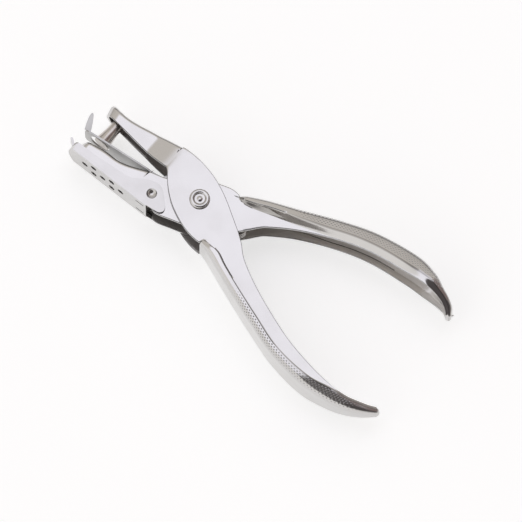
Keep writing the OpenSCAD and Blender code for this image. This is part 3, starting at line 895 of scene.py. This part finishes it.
# %% [markdown]
# The rows of the jaw, the middle and the grip make one grid, with nothing where a row has no
# fold. The front wall of the jaw leans a little, and its rounding is read off the photograph.

# %% Punch lever
jaw = jaw_rows(upper_top, upper_bottom, upper_half, rear=-16.5, nose=-46.35, radius=6.4, lean=-1.1)
middle = middle_rows(punch_middle, upper_half, swaps=True)
grip = grip_rows(punch_grip, back_first=False, tilt=0.15, roll=0.55, step=0.3)
rows = ([row + NO_FOLD for row in jaw] + [NO_FOLD + row + NO_FOLD for row in middle]
        + [NO_FOLD + row for row in grip])
runs = [ELSEWHERE] * (len(jaw) + len(middle)) + run_along(grip, -1)
punch_lever = formed("punch_lever_sheet", rows, runs)
stamped(punch_lever, drills("punch_lever_drills", [((0, 0, 0), (0, 0, 1), SNUG, THROUGH)]))
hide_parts("punch_lever")
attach(punch_lever, "punch_side")
print("punch lever:", len(punch_lever.data.polygons), "faces")

# %% [markdown]
# ## Die lever
# The other lever: its jaw is a channel open below, with the die hole in its web, its inner
# cheeks pass between the punch lever's cheeks, and its grip is the upper one. Both its jaw
# and its grip are folded along the top.

# %% Outlines of the die lever
DIE_HALF = 5.05
INNER = 2 * DIE_HALF
lower_top = [(-45, -7.9), (-43.7, -7.35), (-41.4, -6.85), (-39.3, -6.55), (-37.5, -6.3),
             (-35.6, -6.15), (-31.4, -6.1), (-28.2, -5.5), (-24, -4.0), (-19.5, -2.3)]
lower_bottom = [(-45, -11.6), (-12, -11.6)]
die_middle = [
    (-19.7, -2.6, -19.7, -11.6), (-16.5, -1.75, -16.5, -11.6), (-14.2, -1.0, -14.4, -11.6),
    (-12.0, 0.2, -11.9, -11.45), (-11.2, 0.7, -10.7, -12.7), (-8, 3.1, -8.3, -12.95),
    (-4.5, 6.2, -3.6, -11.55), (-1, 8.3, 1.3, -10.05), (1.5, 9.0, 5.0, -8.4),
    (3.6, 9.7, 8.6, -6.4), (5.4, 10.2, 12, -4.3), (7.2, 10.35, 14.6, -2.4),
    (8.8, 10.2, 17.4, 0.0)]
die_grip = [
    (18.2, 0.9, 9.4, 10.15, INNER, INNER + 0.5, 0.6), (19.9, 2.9, 11.2, 10.95, INNER, 15.6, 0.9),
    (21.4, 4.8, 14.4, 12.7, INNER, 16.4, 1.15), (24.0, 7.3, 19.4, 15.1, INNER, 16.4, 1.25),
    (32.9, 13.0, 29.4, 19.3, INNER + 0.5, 16.4, 1.55),
    (46.0, 18.95, 42.8, 25.1, INNER + 1.5, 16.4, 1.95),
    (57.4, 22.3, 55.0, 29.2, INNER + 2.4, 16.4, 2.15),
    (70.6, 24.0, 70.0, 31.4, INNER + 3.8, 16.4, 2.2),
    (77.5, 24.5, 78.6, 30.2, INNER + 5.4, 16.4, 1.6), (82.3, 24.4, 83.8, 28.1, 13.4, 14.2, 1.4),
    (85.6, 23.9, 87.3, 26.8, 10.6, 11.2, 1.2), (88.0, 23.0, 89.9, 25.2, 7.6, 8.2, 1.1),
    (89.6, 21.7, 91.2, 23.2, 5.2, 5.7, 1.0)]
print("stations along the upper grip:", len(die_grip))

# %% [markdown]
# Beside the rivet's hole this lever has the die, square to the tilted web of its jaw and a
# little wider than the punch, and the holes that the catcher's two dimples turn in.

# %% Die lever
DIE_AT, DIE_TILT, DIE_R, DIE_DEPTH = (-39.62, -6.9, 0), radians(6), 3.2, 6
CATCHER_PIVOT = (-14.0, -8.6, 0)


def lower_half(x):
    """Half the lever's width, the same all along its jaw and middle."""
    return DIE_HALF


jaw = jaw_rows(lower_top, lower_bottom, lower_half, rear=-20, nose=-44.9, radius=3.2, lean=0)
middle = middle_rows(die_middle, lower_half, swaps=False)
grip = grip_rows(die_grip, back_first=True, tilt=0.32, roll=0.5, step=1.1)
rows = jaw + [NO_FOLD + row for row in middle] + grip
runs = [ELSEWHERE] * (len(jaw) + len(middle)) + run_along(grip, 0)
die_lever = formed("die_lever_sheet", rows, runs)
stamped(die_lever, drills("die_lever_drills", [
    ((0, 0, 0), (0, 0, 1), LOOSE, THROUGH),
    (DIE_AT, (sin(DIE_TILT), -cos(DIE_TILT), 0), DIE_R, DIE_DEPTH),
    (CATCHER_PIVOT, (0, 0, 1), LOOSE, THROUGH)]))
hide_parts("die_lever")
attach(die_lever, "die_side")
print("die lever:", len(die_lever.data.polygons), "faces")

# %% [markdown]
# ## Turned pieces
# The rivet, the punch and the spacer sleeve are turned or headed round an axis, so each is
# one profile spun right round. `turned` draws the profile as a line of points and spins it.

# %% Turned pieces
SPIN_N = 96


def turned(name, profile, place, axis, finish):
    """A closed solid of revolution: profile points are (radius, height) in mm."""
    lump = bmesh.new()
    line = [lump.verts.new((r * MM, 0, h * MM)) for r, h in profile]
    edges = [lump.edges.new(pair) for pair in zip(line, line[1:])]
    bmesh.ops.spin(lump, geom=line + edges, cent=(0, 0, 0), axis=(0, 0, 1), angle=2 * pi,
                   steps=SPIN_N, use_merge=True)
    bmesh.ops.remove_doubles(lump, verts=lump.verts, dist=0.000002)
    bmesh.ops.recalc_face_normals(lump, faces=lump.faces)
    aim = Vector((0, 0, 1)).rotation_difference(Vector(axis)).to_matrix().to_4x4()
    bmesh.ops.transform(lump, matrix=Matrix.Translation(at(*place)) @ aim, verts=lump.verts)
    return settled(made(lump, name, finish), sharp=40)


def fits(piece, node, body):
    """Says which node a piece stands for, which is hidden, and which body the piece rides on."""
    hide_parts(node)
    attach(piece, body)
    print(piece.name, len(piece.data.polygons), "faces for", node)


# %% [markdown]
# ## Rivet
# A steel rivet, headed over on both sides: a rolled rim stands round a dished middle, with a
# small raised pip left by the punch that set it. Its plate is a little worn.

# %% Rivet
RIM_N = 45


def dings(nodes, colour, height):
    """Small dents all over, left by handling."""
    return colour, height + 0.00003 * nodes.noise(nodes.place(), 900.0)


rivet_finish = plated("plated_rivet", (0.66, 0.65, 0.645, 1), (0.56, 0.55, 0.54, 1),
                      rougher=0.03, marks=dings)
head = [(2.5, 6.42), (3.55, 6.42), (3.55, 6.72), (3.50, 6.98), (3.32, 7.26), (3.05, 7.45),
        (2.75, 7.52), (2.45, 7.50), (2.2, 7.40), (2.02, 7.20), (1.92, 7.02), (1.75, 6.93),
        (1.4, 6.90), (1.1, 6.91), (0.85, 6.98), (0.62, 7.10), (0.35, 7.19), (0.0, 7.22)]
rolled = head[:3] + [smooth_at(head[2:], k / RIM_N) for k in range(1, RIM_N)] + head[-1:]
profile = [(r, -z) for r, z in reversed(rolled)] + rolled
rivet = turned("rivet", profile, (0, 0, 0), (0, 0, 1), rivet_finish)
fits(rivet, "pivot_rivet", "punch_side")

# %% [markdown]
# ## Punch
# A waisted steel pin: the cutting end is full size with a ground rim, the waist lets the
# chips fall clear, and a tenon is riveted through the web of the upper jaw. Turning leaves
# fine rings round it, drawn here as a noise that is squeezed along the pin.

# %% Punch
steel, nodes, shader = new_finish("tool_steel")
rings = nodes.noise(nodes.place((60, 4200, 60)), 1.0)
stain = nodes.noise(nodes.place(), 260.0, 3.0)
colour = nodes.mix(stain.rise(0.35, 0.7), (0.62, 0.585, 0.555, 1), (0.50, 0.465, 0.435, 1))
metal(nodes, shader, colour, 0.16 + 0.10 * rings + 0.05 * stain, 0.000006 * rings, strength=0.7)

PIN_X, PIN_TIP, PIN_R = -40.1, -4.15, 2.9
WAIST, WAIST_N, TENON = 2.0, 24, 1.5
web = look_up(PIN_X, upper_top)
shoulder = look_up(PIN_X + WAIST + 0.3, upper_top) - SHEET - 0.02
profile = [(0, PIN_TIP + 0.35), (PIN_R - 0.9, PIN_TIP + 0.2), (PIN_R - 0.15, PIN_TIP),
           (PIN_R - 0.04, PIN_TIP + 0.03), (PIN_R, PIN_TIP + 0.14)]
for k in range(WAIST_N + 1):
    share = k / WAIST_N
    profile.append((WAIST + (PIN_R - WAIST) * (1 - share) ** 2.2 + 0.12 * share * share,
                    blend(PIN_TIP + 0.9, shoulder - 1.2, share)))
profile += [(WAIST + 0.25, shoulder - 0.9), (WAIST + 0.3, shoulder - 0.6), (WAIST + 0.3, shoulder),
            (TENON, shoulder), (TENON, web - 0.05), (0, web + 0.05)]
punch = turned("punch", profile, (PIN_X, 0, 0), (0, 1, 0), steel)
fits(punch, "punch_pin", "punch_side")

# %% [markdown]
# ## Sleeve
# The short sleeve on the rivet keeps the stripper's ears apart. It can't be seen with the
# levers in place, and is turned from the same steel.

# %% Sleeve
HALF_SLEEVE, SLEEVE_R = 3.21, 3.6
end = [(LOOSE, HALF_SLEEVE - 0.12), (LOOSE + 0.12, HALF_SLEEVE), (SLEEVE_R - 0.18, HALF_SLEEVE),
       (SLEEVE_R, HALF_SLEEVE - 0.18)]
profile = [(LOOSE, 0)] + end + [(r, -z) for r, z in reversed(end)] + [(LOOSE, 0)]
sleeve = turned("sleeve", profile, (0, 0, 0), (0, 0, 1), steel)
fits(sleeve, "pivot_sleeve", "die_side")

# %% [markdown]
# ## Stripper, catcher and spring
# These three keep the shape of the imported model, which is right already but for its edges
# and its surface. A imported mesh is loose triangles, so a copy of it is merged first, and its
# flat parts are joined again, or else a bevel would follow every triangle.

# %% Finished copies


def copied(node, name, *finishes, squares=False):
    """A node's mesh, with its flat parts joined again, and its triangles too for `squares`."""
    copy = bmesh.new()
    copy.from_mesh(frame["nodes"][node].data)
    bmesh.ops.remove_doubles(copy, verts=copy.verts, dist=0.000002)
    bmesh.ops.dissolve_limit(copy, angle_limit=radians(0.4), verts=copy.verts, edges=copy.edges)
    if squares:
        bmesh.ops.join_triangles(copy, faces=copy.faces, angle_face_threshold=radians(60),
                                 angle_shape_threshold=radians(60))
    bmesh.ops.recalc_face_normals(copy, faces=copy.faces)
    return made(copy, name, *finishes)


def bevelled(piece, width, **settings):
    modifier(piece, "BEVEL", "broken_edges", width=width * MM, segments=2, limit_method="ANGLE",
             angle_limit=radians(45), **settings)
    settled(piece)


# %% [markdown]
# The stripper is thin spring steel that strips the paper off the punch. It is duller than
# the plated pieces, and rolling leaves a grain along it, so its noise is stretched along X.

# %% Stripper
satin, nodes, shader = new_finish("spring_sheet")
grain = nodes.noise(nodes.place((140, 3000, 3000)), 1.0, 3.0)
cloud = nodes.noise(nodes.place(), 130.0, 3.0)
colour = nodes.mix(cloud.rise(0.3, 0.75), (0.52, 0.515, 0.505, 1), (0.44, 0.435, 0.43, 1))
metal(nodes, shader, colour, 0.26 + 0.10 * grain + 0.06 * cloud,
      0.000004 * grain + 0.00001 * cloud)

stripper = copied("stripper", "stripper_sheet", satin)
bevelled(stripper, 0.09)
fits(stripper, "stripper", "die_side")

# %% [markdown]
# The catcher is a trough stamped from thinner sheet, plated like the levers but a little
# duller. Its cut edges get the same dark finish, partly rough edge and partly painted shade, so
# the bevel takes the second finish of the piece.

# %% Catcher
tin = plated("nickel_trough", (0.62, 0.61, 0.602, 1), (0.56, 0.548, 0.538, 1), rougher=0.06)
catcher = copied("chip_catcher", "catcher_sheet", tin, cut)
# the bevel's dark cut-edge colour is partly painted shade
bevelled(catcher, 0.13, material=1)
fits(catcher, "chip_catcher", "catcher")

# %% [markdown]
# The spring is one steel wire coiled between the handles. The imported wire has few sides, and
# one step of subdivision makes it round. Its lower leg stays in the punch lever and its upper
# leg goes with the die lever.

# %% Spring
wire = plated("spring_wire", (0.58, 0.565, 0.55, 1), (0.44, 0.43, 0.415, 1),
              rougher=0.12, marks=dings)
spring = copied("torsion_spring", "spring_coil", wire, squares=True)
modifier(spring, "SUBSURF", "round_wire", levels=1, render_levels=1)
settled(spring, sharp=60)
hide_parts("torsion_spring")
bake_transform(spring)
print(spring.name, len(spring.data.polygons), "faces, one leg goes with each lever")

# %% [markdown]
# ## Size
# The boxes of the imported model and of the visual model are both printed. The visual model
# must fill the same box as the imported one.

# %% Size and finish
for name, box in (("packed", cad_box), ("visual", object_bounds())):
    print(name, "box in mm:", [[round(c / MM, 1) for c in corner] for corner in box])
